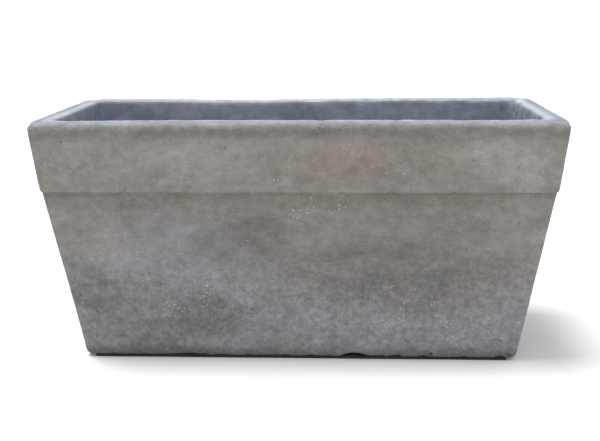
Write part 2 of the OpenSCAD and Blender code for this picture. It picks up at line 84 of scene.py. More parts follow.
def outer_inset(z):
    """How far the outer wall lies in from the rim's outline."""
    if z < BAND_Z:
        low = BAND_LEAN + BAND_STEP
        return low + (WALL_LEAN - low) * (BAND_Z - z) / (BAND_Z - BASE_Z)
    return BAND_LEAN * (TOP_Z - z) / (TOP_Z - BAND_Z)


def inner_inset(z):
    """How far the inner wall lies in from the rim's outline."""
    low = outer_inset(FLOOR_Z) + WALL
    share = max(0.0, (BAND_Z - z) / (BAND_Z - FLOOR_Z))
    return RIM_WIDTH + (low - RIM_WIDTH) * share


# ---- Small helpers ----

def new_object(name, mesh):
    made = bpy.data.objects.new(name, mesh)
    bpy.context.scene.collection.objects.link(made)
    return made


def mesh_object(name, points, faces):
    mesh = bpy.data.meshes.new(name)
    mesh.from_pydata([tuple(p) for p in points], [], faces)
    mesh.validate()
    mesh.update()
    return new_object(name, mesh)


def apply_modifiers(piece):
    """Replaces the piece's mesh by what its modifiers make of it."""
    graph = bpy.context.evaluated_depsgraph_get()
    made = bpy.data.meshes.new_from_object(piece.evaluated_get(graph))
    piece.modifiers.clear()
    piece.data = made


def rough(points, size, octaves=3, offset=0.0, stretch=(1.0, 1.0, 1.0)):
    """Smooth noise at each point, mostly from -1 to 1, with features of that size in metres."""
    scaled = points * (np.array(stretch) / size) + offset
    return np.array([noise.fractal(Vector(p), 1.0, 2.0, octaves) for p in scaled])


def smoothstep(values, low, high):
    t = np.clip((values - low) / (high - low), 0.0, 1.0)
    return t * t * (3.0 - 2.0 * t)


def quarter(inset, z, r, start, end, steps):
    """Points of an arc in the inset-height plane, angles in degrees."""
    angles = [math.radians(start + (end - start) * k / steps) for k in range(steps + 1)]
    return [(inset + r * math.cos(a), z + r * math.sin(a)) for a in angles]


def between(low, high, step):
    """Evenly spaced values strictly between two ends, about a step apart."""
    count = max(1, round(abs(high - low) / step))
    return [low + (high - low) * k / count for k in range(1, count)]


# ---- The cast trough ----

# How far the cast surface lies inside the ideal one, in metres
SET_BACK = 0.0005
DEEPEST = 0.006
WAVES = 0.0008
DRAG_RELIEF = 0.00014
MIX_RELIEF = 0.00022
INSIDE_RELIEF = 0.0009
EDGE_FLAKES = 0.0022
COARSE_RIM = 0.0022
RUBBED_CORNERS = 0.0040
RAGGED_BASE = 0.0022
BACK_SAG = 0.0022
FRONT_SAG = 0.0007

CORNER_STEPS = 10
SIDE_STEPS = (92, 54, 236, 54)    # back, left, front, right: the front shows most detail
CORNER_X = (1, -1, -1, 1)
CORNER_Y = (1, 1, -1, -1)


def outline(inset, r):
    """Anticlockwise points of a rounded rectangle at a distance in from the rim's outline."""
    x, y = HALF_LENGTH - inset - r, HALF_DEPTH - inset - r
    points = []
    for corner in range(4):
        cx, cy = CORNER_X[corner] * x, CORNER_Y[corner] * y
        for i in range(CORNER_STEPS + 1):
            a = math.pi / 2 * (corner + i / CORNER_STEPS)
            points.append((cx + r * math.cos(a), cy + r * math.sin(a)))
        following = (corner + 1) % 4
        a = math.pi / 2 * (corner + 1)
        start = np.array(points[-1])
        end = np.array((CORNER_X[following] * x + r * math.cos(a),
                        CORNER_Y[following] * y + r * math.sin(a)))
        steps = SIDE_STEPS[corner]
        points += [tuple(start + (end - start) * k / steps) for k in range(1, steps)]
    return np.array(points)


def trough_rows():
    """The trough's section, from under the base, up the outside, over the rim and down to the floor.

    Each row is (inset, z, corner radius, inner share, edge wear)."""
    rows = []
    base_inset = outer_inset(BASE_Z + BASE_EDGE)

    def outside(points, wear=0.0):
        for inset, z in points:
            r = CORNER_RADIUS if z >= BAND_Z - 1e-6 else LOWER_CORNER_RADIUS
            r -= max(0.0, inset - outer_inset(z))
            rows.append((inset, z, max(r, 0.003), 0.0, wear))

    outside([(base_inset + d, BASE_Z) for d in (0.09, 0.04, 0.02, 0.011)])
    outside(quarter(base_inset + BASE_EDGE, BASE_Z + BASE_EDGE, BASE_EDGE, 270, 180, 5), 1.0)
    outside([(outer_inset(z), z) for z in between(BASE_Z + BASE_EDGE, BAND_Z, 0.0036)])
    outside([(outer_inset(BAND_Z - 1e-5), BAND_Z - 1e-5)])
    outside(quarter(BAND_LEAN + BAND_EDGE, BAND_Z + BAND_EDGE, BAND_EDGE, 270, 180, 3), 0.5)
    outside([(outer_inset(z), z) for z in between(BAND_Z + BAND_EDGE, TOP_Z - RIM_EDGE, 0.0038)])
    outside(quarter(RIM_EDGE, TOP_Z - RIM_EDGE, RIM_EDGE, 180, 90, 8), 0.7)
    inner_start = RIM_WIDTH - RIM_INNER_EDGE
    low_r, high_r = rows[-1][2], INNER_CORNER_RADIUS + RIM_INNER_EDGE
    for inset in between(RIM_EDGE, inner_start, 0.0036):
        share = (inset - RIM_EDGE) / (inner_start - RIM_EDGE)
        rows.append((inset, TOP_Z, low_r + (high_r - low_r) * share, share * 0.3, 0.2))

    def inside(points, wear=0.0, share=1.0):
        for inset, z in points:
            r = INNER_CORNER_RADIUS - (inset - inner_inset(z))
            rows.append((inset, z, max(r, 0.004), share, wear))

    arc = quarter(inner_start, TOP_Z - RIM_INNER_EDGE, RIM_INNER_EDGE, 90, 0, 6)
    for k, point in enumerate(arc):
        inside([point], 0.7, 0.3 + 0.7 * k / (len(arc) - 1))
    inside([(RIM_WIDTH, z) for z in between(TOP_Z - RIM_INNER_EDGE, BAND_Z, 0.0055)])
    inside([(inner_inset(z), z) for z in between(BAND_Z, FLOOR_Z + FLOOR_EDGE, 0.011)])
    low = inner_inset(FLOOR_Z + FLOOR_EDGE)
    inside(quarter(low + FLOOR_EDGE, FLOOR_Z + FLOOR_EDGE, FLOOR_EDGE, 180, 270, 3))
    return rows


def trough_mesh():
    rows = trough_rows()
    rings = [outline(inset, r) for inset, z, r, share, wear in rows]
    n = len(rings[0])
    points = np.vstack([np.column_stack((ring, np.full(n, row[1])))
                        for ring, row in zip(rings, rows)])
    faces = []
    for k in range(len(rows) - 1):
        a, b = k * n, (k + 1) * n
        faces += [(a + i, a + (i + 1) % n, b + (i + 1) % n, b + i) for i in range(n)]
    faces.append(tuple(range(n - 1, -1, -1)))
    last = (len(rows) - 1) * n
    faces.append(tuple(range(last, last + n)))
    body = mesh_object("trough", points, faces)
    mesh = body.data

    normals = np.zeros(len(points) * 3)
    mesh.vertices.foreach_get("normal", normals)
    normals = normals.reshape(-1, 3)
    inner = np.repeat([row[3] for row in rows], n)
    wear = np.repeat([row[4] for row in rows], n)
    x, y, z = points.T

    # Waves of the hand-packed wall, drag lines along it and the roughness of the mix
    depth = WAVES * rough(points, 0.17, 2)
    depth += DRAG_RELIEF * rough(points, 0.012, 3, 5.0, (0.14, 0.14, 1.0))
    depth += MIX_RELIEF * rough(points, 0.011, 3, 9.0)
    depth += (INSIDE_RELIEF * inner * rough(points, 0.035, 4, 17.0)
              * smoothstep(z, DECK_TOP, BAND_Z))
    # Edges have lost small flakes
    flakes = smoothstep(rough(points, 0.017, 4, 31.0), 0.15, 0.75)
    depth -= EDGE_FLAKES * wear * flakes + 0.0002 * wear
    # The inner edge of the rim is coarse near the right-hand end
    coarse = smoothstep(x, 0.12, 0.30) * smoothstep(inner, 0.2, 0.6) * smoothstep(z, BAND_Z, TOP_Z)
    depth -= COARSE_RIM * coarse * smoothstep(rough(points, 0.020, 4, 43.0), -0.2, 0.6)
    # The rim's four outer corners are rubbed round
    corner = (smoothstep(np.abs(x), HALF_LENGTH - 0.034, HALF_LENGTH - 0.006)
              * smoothstep(np.abs(y), HALF_DEPTH - 0.034, HALF_DEPTH - 0.006))
    depth -= RUBBED_CORNERS * corner * (1.0 - inner) * smoothstep(z, TOP_Z - 0.018, TOP_Z - 0.002)
    depth = np.clip(depth - SET_BACK, -DEEPEST, 0.0)
    # What stands on or against the cast wall meets it unchanged
    hidden = (z < BASE_Z + 1e-4) | ((inner > 0.5) & (z < DECK_TOP - 0.01))
    depth[hidden] = 0.0
    moved = points + normals * depth[:, None]

    # The lower edge is ragged, the back rim sags left of the middle and the front rim is uneven
    near_base = smoothstep(z, BASE_Z + 0.012, BASE_Z) * (wear > 0.9)
    moved[:, 2] += RAGGED_BASE * near_base * smoothstep(rough(points, 0.022, 4, 57.0), -0.1, 0.7)
    back_top = smoothstep(y, 0.10, HALF_DEPTH - 0.04) * smoothstep(z, BAND_Z, TOP_Z)
    moved[:, 2] -= BACK_SAG * back_top * np.exp(-((x + 0.09) / 0.13) ** 2)
    front_top = smoothstep(-y, 0.10, HALF_DEPTH - 0.04) * smoothstep(z, BAND_Z, TOP_Z)
    moved[:, 2] -= FRONT_SAG * front_top * smoothstep(rough(points, 0.09, 2, 71.0), -0.3, 0.5)
    mesh.vertices.foreach_set("co", moved.ravel())

    attribute = mesh.attributes.new("inner", "FLOAT", "POINT")
    attribute.data.foreach_set("value", inner.astype(np.float32))
    mesh.update()
    return body


def cylinder_along_y(name, x, y0, y1, z, r, sides=64):
    points = []
    for y in (y0, y1):
        for i in range(sides):
            a = 2 * math.pi * i / sides
            points.append((x + r * math.cos(a), y, z + r * math.sin(a)))
    faces = [(i, (i + 1) % sides, sides + (i + 1) % sides, sides + i) for i in range(sides)]
    faces += [tuple(range(sides - 1, -1, -1)), tuple(range(sides, 2 * sides))]
    return mesh_object(name, points, faces)


def rough_lump(name, centre, radii, seed, detail=4, amount=0.25):
    """A lumpy ball that cuts a chip or a pit."""
    work = bmesh.new()
    bmesh.ops.create_icosphere(work, subdivisions=detail, radius=1.0)
    for v in work.verts:
        swell = 1.0 + amount * noise.fractal(v.co * 2.2 + Vector((seed, 0, 0)), 1.0, 2.0, 4)
        v.co = Vector(centre) + Vector(a * b * swell for a, b in zip(v.co, radii))
    mesh = bpy.data.meshes.new(name)
    work.to_mesh(mesh)
    work.free()
    return new_object(name, mesh)


def cut(body, cutters):
    """Cuts closed shapes out of a piece and removes them."""
    for cutter in cutters:
        work = bmesh.new()
        work.from_mesh(cutter.data)
        bmesh.ops.recalc_face_normals(work, faces=work.faces)
        work.to_mesh(cutter.data)
        work.free()
        change = body.modifiers.new("cut", "BOOLEAN")
        change.operation = "DIFFERENCE"
        change.solver = "EXACT"
        change.object = cutter
    apply_modifiers(body)
    for cutter in cutters:
        bpy.data.objects.remove(cutter)


def wall_holes():
    """The bores and flat seats of the overflow and the drain, as cutters."""
    made = []
    for kind in ("overflow", "drain"):
        low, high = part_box(kind + "_washer")
        x, z = (low.x + high.x) / 2, (low.z + high.z) / 2
        made.append(cylinder_along_y(kind + "_seat", x, low.y, HALF_DEPTH,
                                     z, (high.x - low.x) / 2 + SEAT_MARGIN))
        made.append(cylinder_along_y(kind + "_bore", x, 0.02, low.y + 0.002, z, BORE_RADIUS))
    return made


# Chips and pits of the front face: x, height above the base, radii in x, y and z
FRONT_CHIPS = (
    (0.088, 0.0, 0.022, 0.016, 0.0070),
    (0.105, 0.0, 0.030, 0.008, 0.0025),
    (0.209, 0.0055, 0.0042, 0.006, 0.0030),
    (0.330, 0.0045, 0.0055, 0.005, 0.0035),
    (-0.172, 0.0, 0.006, 0.006, 0.0028),
    (-0.245, 0.0, 0.004, 0.005, 0.0020),
    (-0.02, 0.0, 0.009, 0.006, 0.0022),
    (0.168, 0.030, 0.0022, 0.0030, 0.0016),
    (-0.072, 0.082, 0.0028, 0.0028, 0.0012),
    (-0.255, 0.280, 0.0016, 0.0022, 0.0010),
    (-0.345, 0.352, 0.0016, 0.0020, 0.0014),
    (0.055, 0.118, 0.0015, 0.0020, 0.0012),
    (0.148, 0.205, 0.0018, 0.0020, 0.0010),
)


def front_chips():
    made = []
    for k, (x, up, rx, ry, rz) in enumerate(FRONT_CHIPS):
        z = BASE_Z + up
        y = -(HALF_DEPTH - outer_inset(z))
        detail = 4 if rx > 0.01 else 3
        made.append(rough_lump(f"chip_{k}", (x, y, z), (rx, ry, rz), 3.7 * k, detail))
    return made


def build_trough():
    body = trough_mesh()
    cut(body, wall_holes() + front_chips())
    body.data.shade_smooth()
    body.data.set_sharp_from_angle(angle=math.radians(38))
    body.data.materials.clear()
    body.data.materials.append(fibre_cement())
    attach(body, "shell")
    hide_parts("planter_body")


# ---- Materials ----

def start_material(name):
    """A new material, its node tree, its shader and the object coordinates."""
    material = bpy.data.materials.new(name)
    material.use_nodes = True
    tree = material.node_tree
    shader = tree.nodes["Principled BSDF"]
    coordinates = tree.nodes.new("ShaderNodeTexCoord")
    return material, tree, shader, coordinates


def add(tree, kind, inputs=None, **settings):
    """A node of that kind. Each input is a value, or a socket to link from."""
    made = tree.nodes.new("ShaderNode" + kind)
    for key, value in settings.items():
        setattr(made, key, value)
    for key, value in (inputs or {}).items():
        if isinstance(value, bpy.types.NodeSocket):
            tree.links.new(value, made.inputs[key])
        else:
            made.inputs[key].default_value = value
    return made


def stretched(tree, vector, scale, location=(0.0, 0.0, 0.0)):
    return add(tree, "Mapping", {"Vector": vector, "Scale": scale, "Location": location}).outputs[0]


def cloud(tree, vector, scale, detail=3.0, roughness=0.55, distortion=0.0):
    inputs = {"Vector": vector, "Scale": scale, "Detail": detail,
              "Roughness": roughness, "Distortion": distortion}
    return add(tree, "TexNoise", inputs).outputs[0]


def step(tree, value, low, high, to_low=0.0, to_high=1.0):
    """Rises smoothly from to_low at low to to_high at high."""
    inputs = {0: value, 1: low, 2: high, 3: to_low, 4: to_high}
    return add(tree, "MapRange", inputs, interpolation_type="SMOOTHSTEP").outputs[0]


def calc(tree, operation, a, b=0.0, clamp=False):
    return add(tree, "Math", {0: a, 1: b}, operation=operation, use_clamp=clamp).outputs[0]


def times(tree, *values):
    """The product of sockets and numbers."""
    return reduce(lambda a, b: calc(tree, "MULTIPLY", a, b), values)


def largest(tree, *values):
    """The largest of some sockets at each point."""
    return reduce(lambda a, b: calc(tree, "MAXIMUM", a, b), values)


def blend(tree, share, a, b, kind="MIX"):
    """Colour b over colour a."""
    inputs = {0: share}
    for key, colour in ((6, a), (7, b)):
        inputs[key] = colour if isinstance(colour, bpy.types.NodeSocket) else (*colour, 1.0)
    return add(tree, "Mix", inputs, data_type="RGBA", blend_type=kind).outputs[2]


def bump(tree, height, distance, strength=1.0, normal=None):
    inputs = {"Height": height, "Distance": distance, "Strength": strength}
    if normal is not None:
        inputs["Normal"] = normal
    return add(tree, "Bump", inputs).outputs[0]


def height_of(tree, vector):
    return add(tree, "SeparateXYZ", {0: vector}).outputs[2]


def grains(tree, vector, scale, radius, share):
    """Round grains scattered on a grid of cells: 1 in a grain. Share is how many cells have one."""
    cells = add(tree, "TexVoronoi", {"Vector": vector, "Scale": scale, "Randomness": 1.0})
    draw = add(tree, "SeparateColor", {0: cells.outputs[1]}).outputs[0]
    disc = step(tree, cells.outputs[0], radius, radius * 0.45)
    return times(tree, disc, calc(tree, "LESS_THAN", draw, share))


def patch(tree, vector, centre, radii):
    """1 at a place on the object, falling to 0 at the radii."""
    scale = tuple(1.0 / r for r in radii)
    location = tuple(-c / r for c, r in zip(centre, radii))
    mapped = stretched(tree, vector, scale, location)
    return add(tree, "TexGradient", {0: mapped}, gradient_type="SPHERICAL").outputs[1]


# Damp stains, pale patches and grit of the front face: x, z, half width, half height
STAINS = (
    (-0.315, 0.105, 0.075, 0.075),
    (-0.135, 0.075, 0.085, 0.055),
    (0.150, 0.150, 0.250, 0.085),
    (0.190, 0.120, 0.150, 0.060),
    (-0.060, 0.215, 0.070, 0.050),
)
PALE = (
    (-0.180, 0.325, 0.100, 0.045),
    (0.310, 0.330, 0.110, 0.050),
    (-0.270, 0.190, 0.080, 0.045),
    (0.060, 0.345, 0.090, 0.030),
)
GRIT = (
    (-0.190, 0.110, 0.110, 0.060),
    (0.140, 0.095, 0.140, 0.060),
    (0.245, 0.060, 0.110, 0.055),
    (0.020, 0.255, 0.120, 0.035),
)

# Colours of the cement
WARM_GREY = (0.177, 0.165, 0.154)
SLATE_GREY = (0.187, 0.184, 0.207)
PALE_WISPS = (0.214, 0.206, 0.202)
DARK_CLOUDS = (0.151, 0.145, 0.135)
BAND_GREY = (0.226, 0.212, 0.196)
DAMP_GREY = (0.112, 0.107, 0.101)
DRY_GREY = (0.262, 0.248, 0.234)
RUST_BROWN = (0.196, 0.166, 0.142)
# Painted sky light: paler blue-grey on faces that point up
PAINTED_SKY_LIGHT = (0.240, 0.265, 0.316)
INSIDE_DARK = (0.208, 0.237, 0.290)
INSIDE_PALE = (0.252, 0.281, 0.328)
# Painted highlight along the rim's inner edge
PAINTED_RIM_HIGHLIGHT = (0.400, 0.425, 0.475)
# Painted shade under the band, below the rim and along the base
PAINTED_EDGE_SHADE = (0.104, 0.100, 0.086)
BAND_GRIME = (0.134, 0.122, 0.100)
GRIT_WHITE = (0.56, 0.55, 0.54)
# Painted shade in the pits
PIT_SHADE = (0.050, 0.046, 0.042)


def patches(tree, vector, places, depth):
    """1 in the middle of each place on the front face, at that depth behind the rim's outline."""
    return largest(tree, *[patch(tree, vector, (x, depth - HALF_DEPTH, z), (width, 0.09, height))
                           for x, z, width, height in places])


def cement_fields(tree, coordinates):
    """The places, heights and noises that the cement's colour and relief are mixed from."""
    place = coordinates.outputs["Object"]
    z = height_of(tree, place)
    inner = add(tree, "Attribute", attribute_name="inner").outputs["Fac"]
    outer = calc(tree, "SUBTRACT", 1.0, inner, True)
    mottle = cloud(tree, place, 70.0, 4.0, 0.6)
    wander = times(tree, calc(tree, "SUBTRACT", mottle, 0.5), 0.006)
    return SimpleNamespace(
        place=place, z=z, inner=inner, outer=outer, mottle=mottle,
        level=calc(tree, "ADD", z, wander),
        up=height_of(tree, coordinates.outputs["Normal"]),
        low_wall=times(tree, step(tree, z, 0.230, 0.110), outer),
        clouds=cloud(tree, place, 5.5, 5.0, 0.60, 0.3),
        wisps=cloud(tree, stretched(tree, place, (1.0, 1.0, 2.2)), 11.0, 5.0, 0.62, 0.6),
        drags=cloud(tree, stretched(tree, place, (1.0, 1.0, 6.0)), 12.0, 5.0, 0.65, 0.5),
        fine_drags=cloud(tree, stretched(tree, place, (1.0, 1.0, 5.0)), 75.0, 3.0, 0.6, 0.4),
        blots=cloud(tree, stretched(tree, place, (1.0, 1.0, 1.6)), 26.0, 4.0, 0.6, 0.4),
        speckles=cloud(tree, place, 125.0, 3.0, 0.65),
        grain=cloud(tree, place, 420.0, 3.0, 0.6),
    )


def cement_body(tree, f):
    """Brown-grey cement with slate patches: on the lower third, and higher up left of the middle."""
    lift = times(tree, calc(tree, "SUBTRACT", f.clouds, 0.5), 0.26)
    rise = patch(tree, f.place, (-0.20, 0.02 - HALF_DEPTH, 0.19), (0.17, 0.12, 0.13))
    lift = calc(tree, "SUBTRACT", lift, times(tree, rise, 0.13))
    slate = times(tree, step(tree, calc(tree, "ADD", f.z, lift), 0.205, 0.070),
                  step(tree, f.wisps, 0.36, 0.60, 0.45, 1.0))
    colour = blend(tree, slate, WARM_GREY, SLATE_GREY)
    colour = blend(tree, step(tree, f.wisps, 0.50, 0.68, 0.0, 0.45), colour, PALE_WISPS)
    colour = blend(tree, step(tree, f.clouds, 0.47, 0.34, 0.0, 0.55), colour, DARK_CLOUDS)
    on_band = step(tree, f.z, BAND_Z - 0.002, BAND_Z + 0.002, 0.0, 0.28)
    return blend(tree, on_band, colour, BAND_GREY)


def cement_stains(tree, f, colour):
    """Damp stains, dry pale patches and one rust-brown patch on the band."""
    damp = times(tree, patches(tree, f.place, STAINS, 0.045),
                 step(tree, f.wisps, 0.34, 0.60, 0.45, 1.3))
    colour = blend(tree, step(tree, damp, 0.10, 0.70, 0.0, 0.68), colour, DAMP_GREY)
    pale = times(tree, patches(tree, f.place, PALE, 0.03),
                 step(tree, f.wisps, 0.34, 0.60, 0.6, 1.2))
    colour = blend(tree, step(tree, pale, 0.05, 0.70, 0.0, 0.34), colour, DRY_GREY)
    rusty = times(tree, patch(tree, f.place, (0.090, 0.03 - HALF_DEPTH, 0.325), (0.260, 0.09, 0.060)),
                  step(tree, f.wisps, 0.34, 0.62, 0.5, 1.3))
    return blend(tree, step(tree, rusty, 0.05, 0.80, 0.0, 0.60), colour, RUST_BROWN)


def cement_light_and_inside(tree, f, colour):
    """Painted sky light, paler and bluer, on what faces up; a blue-grey colour on the inside walls; and
    a painted highlight along the rim's inner edge.
    """
    top = step(tree, f.up, 0.30, 0.97)
    # Painted sky light: faces that point up are made paler and bluer
    sky_light = times(tree, top, step(tree, f.clouds, 0.35, 0.60, 0.75, 1.0))
    colour = blend(tree, sky_light, colour, PAINTED_SKY_LIGHT)
    inside = blend(tree, step(tree, f.wisps, 0.40, 0.62), INSIDE_DARK, INSIDE_PALE)
    deep = times(tree, f.inner, step(tree, f.up, 0.75, 0.30))
    colour = blend(tree, deep, colour, inside)
    # Painted highlight along the rim's inner edge, on what faces up
    rim_highlight = times(tree, step(tree, f.inner, 0.10, 0.28), step(tree, f.inner, 0.90, 0.55),
                   step(tree, f.wisps, 0.30, 0.62, 0.45, 1.0), top)
    return blend(tree, rim_highlight, colour, PAINTED_RIM_HIGHLIGHT)


def cement_shade_and_grime(tree, f, colour):
    """Painted shade in the corner under the band, below the rim and along the base, and grime below the
    band.
    """
    under_band = times(tree, step(tree, f.level, BAND_Z - 0.010, BAND_Z - 0.002),
                       step(tree, f.z, BAND_Z + 0.0035, BAND_Z + 0.001), 0.38)
    under_rim = times(tree, step(tree, f.level, TOP_Z - 0.032, TOP_Z - 0.017),
                      step(tree, f.level, TOP_Z - 0.006, TOP_Z - 0.014),
                      step(tree, f.wisps, 0.35, 0.60, 0.20, 0.60))
    along_base = step(tree, f.level, BASE_Z + 0.024, BASE_Z + 0.004, 0.0, 0.68)
    # Painted shade: darker under the band, below the rim and along the base
    painted_shade = times(tree, largest(tree, under_band, under_rim, along_base), f.outer)
    colour = blend(tree, painted_shade, colour, PAINTED_EDGE_SHADE)
    below_band = times(tree, step(tree, f.level, BAND_Z - 0.034, BAND_Z - 0.006, 0.0, 0.62),
                       f.outer, step(tree, f.z, BAND_Z, BAND_Z - 0.001),
                       step(tree, f.wisps, 0.36, 0.60, 0.35, 1.0))
    return blend(tree, below_band, colour, BAND_GRIME)


def cement_tone(tree, f, colour):
    """Drag lines, mottling and grain, as darker and paler tones."""
    speckle = times(tree, step(tree, f.speckles, 0.30, 0.70, -0.17, 0.17), f.low_wall)
    tone = times(tree, step(tree, f.drags, 0.30, 0.70, 0.955, 1.04),
                 step(tree, f.fine_drags, 0.25, 0.75, 0.97, 1.03),
                 step(tree, f.clouds, 0.34, 0.66, 0.94, 1.06),
                 step(tree, f.blots, 0.32, 0.68, 0.925, 1.075),
                 step(tree, f.mottle, 0.25, 0.75, 0.85, 1.14),
                 calc(tree, "ADD", speckle, 1.0),
                 step(tree, f.grain, 0.25, 0.75, 0.90, 1.10))
    grey = add(tree, "CombineColor", {0: tone, 1: tone, 2: tone}).outputs[0]
    return blend(tree, 1.0, colour, grey, "MULTIPLY")


def cement_grit(tree, f):
    """Pale grit, mostly in clusters, and small pits, whose dark colour is painted shade: 1 in each."""
    clustered = largest(tree, step(tree, patches(tree, f.place, GRIT, 0.04), 0.15, 0.60),
                        step(tree, cloud(tree, f.place, 14.0, 2.0), 0.60, 0.72, 0.0, 0.8))
    clustered = times(tree, clustered, step(tree, cloud(tree, f.place, 34.0, 3.0, 0.6), 0.44, 0.56))
    grit = largest(tree, times(tree, grains(tree, f.place, 190.0, 0.25, 0.42), clustered),
                   grains(tree, f.place, 52.0, 0.058, 0.30),
                   times(tree, grains(tree, f.place, 300.0, 0.26, 0.14), 0.40))
    low_pits = times(tree, grains(tree, f.place, 120.0, 0.21, 0.30), f.low_wall,
                     step(tree, f.blots, 0.42, 0.58))
    pits = largest(tree, grains(tree, f.place, 58.0, 0.085, 0.20),
                   grains(tree, f.place, 170.0, 0.17, 0.10), low_pits)
    return grit, pits


def fibre_cement():
    """Cast fibre cement: brown-grey above, slate below, with drag lines, stains, pits and pale grit,
    with painted sky light, a painted rim highlight and painted shade at edges and in the pits.
    """
    material, tree, shader, coordinates = start_material("fibre_cement")
    f = cement_fields(tree, coordinates)
    colour = cement_body(tree, f)
    for layer in (cement_stains, cement_light_and_inside, cement_shade_and_grime, cement_tone):
        colour = layer(tree, f, colour)
    grit, pits = cement_grit(tree, f)
    colour = blend(tree, times(tree, grit, 0.80), colour, GRIT_WHITE)
    # Painted shade in the pits
    colour = blend(tree, times(tree, pits, 0.62), colour, PIT_SHADE)
    tree.links.new(colour, shader.inputs["Base Color"])

    coarse = calc(tree, "ADD", times(tree, f.mottle, 0.8), times(tree, f.fine_drags, 0.2))
    relief = bump(tree, coarse, 0.0011, 0.45)
    relief = bump(tree, f.grain, 0.0004, 0.60, relief)
    holes = calc(tree, "SUBTRACT", times(tree, grit, 0.3), pits)
    relief = bump(tree, holes, 0.0008, 0.90, relief)
    tree.links.new(relief, shader.inputs["Normal"])
    tree.links.new(step(tree, f.mottle, 0.3, 0.7, 0.80, 0.97), shader.inputs["Roughness"])
    shader.inputs["Specular IOR Level"].default_value = 0.30
    return material


# Moulded plastics: colour, roughness, how much paler the scuffs are, grain size and bump height
MOULDED = {
    "reservoir_plastic": ((0.017, 0.018, 0.020), 0.50, 0.30, 900.0, 0.00016),
    "insert_plastic": ((0.045, 0.048, 0.053), 0.48, 0.28, 1100.0, 0.00014),
    "rubber": ((0.010, 0.010, 0.010), 0.78, 0.12, 700.0, 0.00020),
    "lid_plastic": ((0.052, 0.055, 0.061), 0.42, 0.22, 1300.0, 0.00018),
    "strainer_plastic": ((0.47, 0.48, 0.47), 0.45, 0.12, 1200.0, 0.00010),
    "fitting_plastic": ((0.026, 0.027, 0.030), 0.36, 0.25, 1200.0, 0.00008),
    "rod_plastic": ((0.78, 0.78, 0.76), 0.22, 0.04, 500.0, 0.00004),
    "pointer_red": ((0.58, 0.018, 0.012), 0.24, 0.06, 500.0, 0.00005),
}
WET_SLOTS = ("reservoir_plastic", "insert_plastic")
CLEAN_SLOTS = ("rod_plastic", "pointer_red")
DUST = (0.30, 0.285, 0.26)


def moulded(name):
    """Moulded plastic or rubber with a fine grain, faint scuffs and dust on what faces up."""
    base, roughness, scuff, grain_scale, depth = MOULDED[name]
    material, tree, shader, coordinates = start_material(name)
    place = coordinates.outputs["Object"]
    up = height_of(tree, coordinates.outputs["Normal"])
    clouds = cloud(tree, place, 28.0, 4.0, 0.6)
    scuffs = cloud(tree, stretched(tree, place, (1.0, 1.0, 0.25)), 160.0, 4.0, 0.7, 0.8)
    grain = cloud(tree, place, grain_scale, 2.0, 0.6)
    pale = tuple(c + (0.55 - c) * 0.16 if c < 0.5 else c * 0.93 for c in base)
    dark = tuple(c * 0.82 for c in base)
    colour = blend(tree, step(tree, clouds, 0.35, 0.65), dark, base)
    colour = blend(tree, step(tree, scuffs, 0.56, 0.74, 0.0, scuff), colour, pale)
    dust = times(tree, step(tree, up, 0.55, 0.98, 0.0, 0.22), step(tree, clouds, 0.40, 0.66))
    if name in WET_SLOTS:
        # Pale mineral marks where the water has stood
        z = calc(tree, "ADD", height_of(tree, place), times(tree, clouds, 0.010))
        line = times(tree, step(tree, z, 0.098, 0.106), step(tree, z, 0.116, 0.108), 0.30)
        silt = step(tree, z, 0.060, 0.034, 0.0, 0.30)
        mark = times(tree, largest(tree, line, silt), step(tree, scuffs, 0.35, 0.65, 0.4, 1.0))
        dust = largest(tree, dust, mark)
    if name in CLEAN_SLOTS:
        dust = times(tree, dust, 0.3)
    colour = blend(tree, dust, colour, DUST)
    tree.links.new(colour, shader.inputs["Base Color"])
    worn = step(tree, scuffs, 0.35, 0.70, roughness - 0.05, roughness + 0.14)
    tree.links.new(worn, shader.inputs["Roughness"])
    tree.links.new(bump(tree, grain, depth, 0.6), shader.inputs["Normal"])
    return material


def extruded_pipe():
    """Grey pipe with fine lines along its length."""
    material, tree, shader, coordinates = start_material("tube_plastic")
    place = coordinates.outputs["Object"]
    lines = cloud(tree, stretched(tree, place, (1.0, 1.0, 0.02)), 420.0, 3.0, 0.6)
    clouds = cloud(tree, place, 24.0, 4.0, 0.6)
    colour = blend(tree, step(tree, lines, 0.3, 0.7), (0.135, 0.140, 0.148), (0.175, 0.180, 0.188))
    colour = blend(tree, step(tree, clouds, 0.52, 0.70, 0.0, 0.35), colour, (0.24, 0.235, 0.22))
    z = calc(tree, "ADD", height_of(tree, place), times(tree, clouds, 0.012))
    colour = blend(tree, step(tree, z, 0.185, 0.150, 0.0, 0.45), colour, (0.105, 0.092, 0.074))
    tree.links.new(colour, shader.inputs["Base Color"])
    tree.links.new(step(tree, clouds, 0.35, 0.65, 0.34, 0.50), shader.inputs["Roughness"])
    tree.links.new(bump(tree, lines, 0.0001, 0.5), shader.inputs["Normal"])
    return material


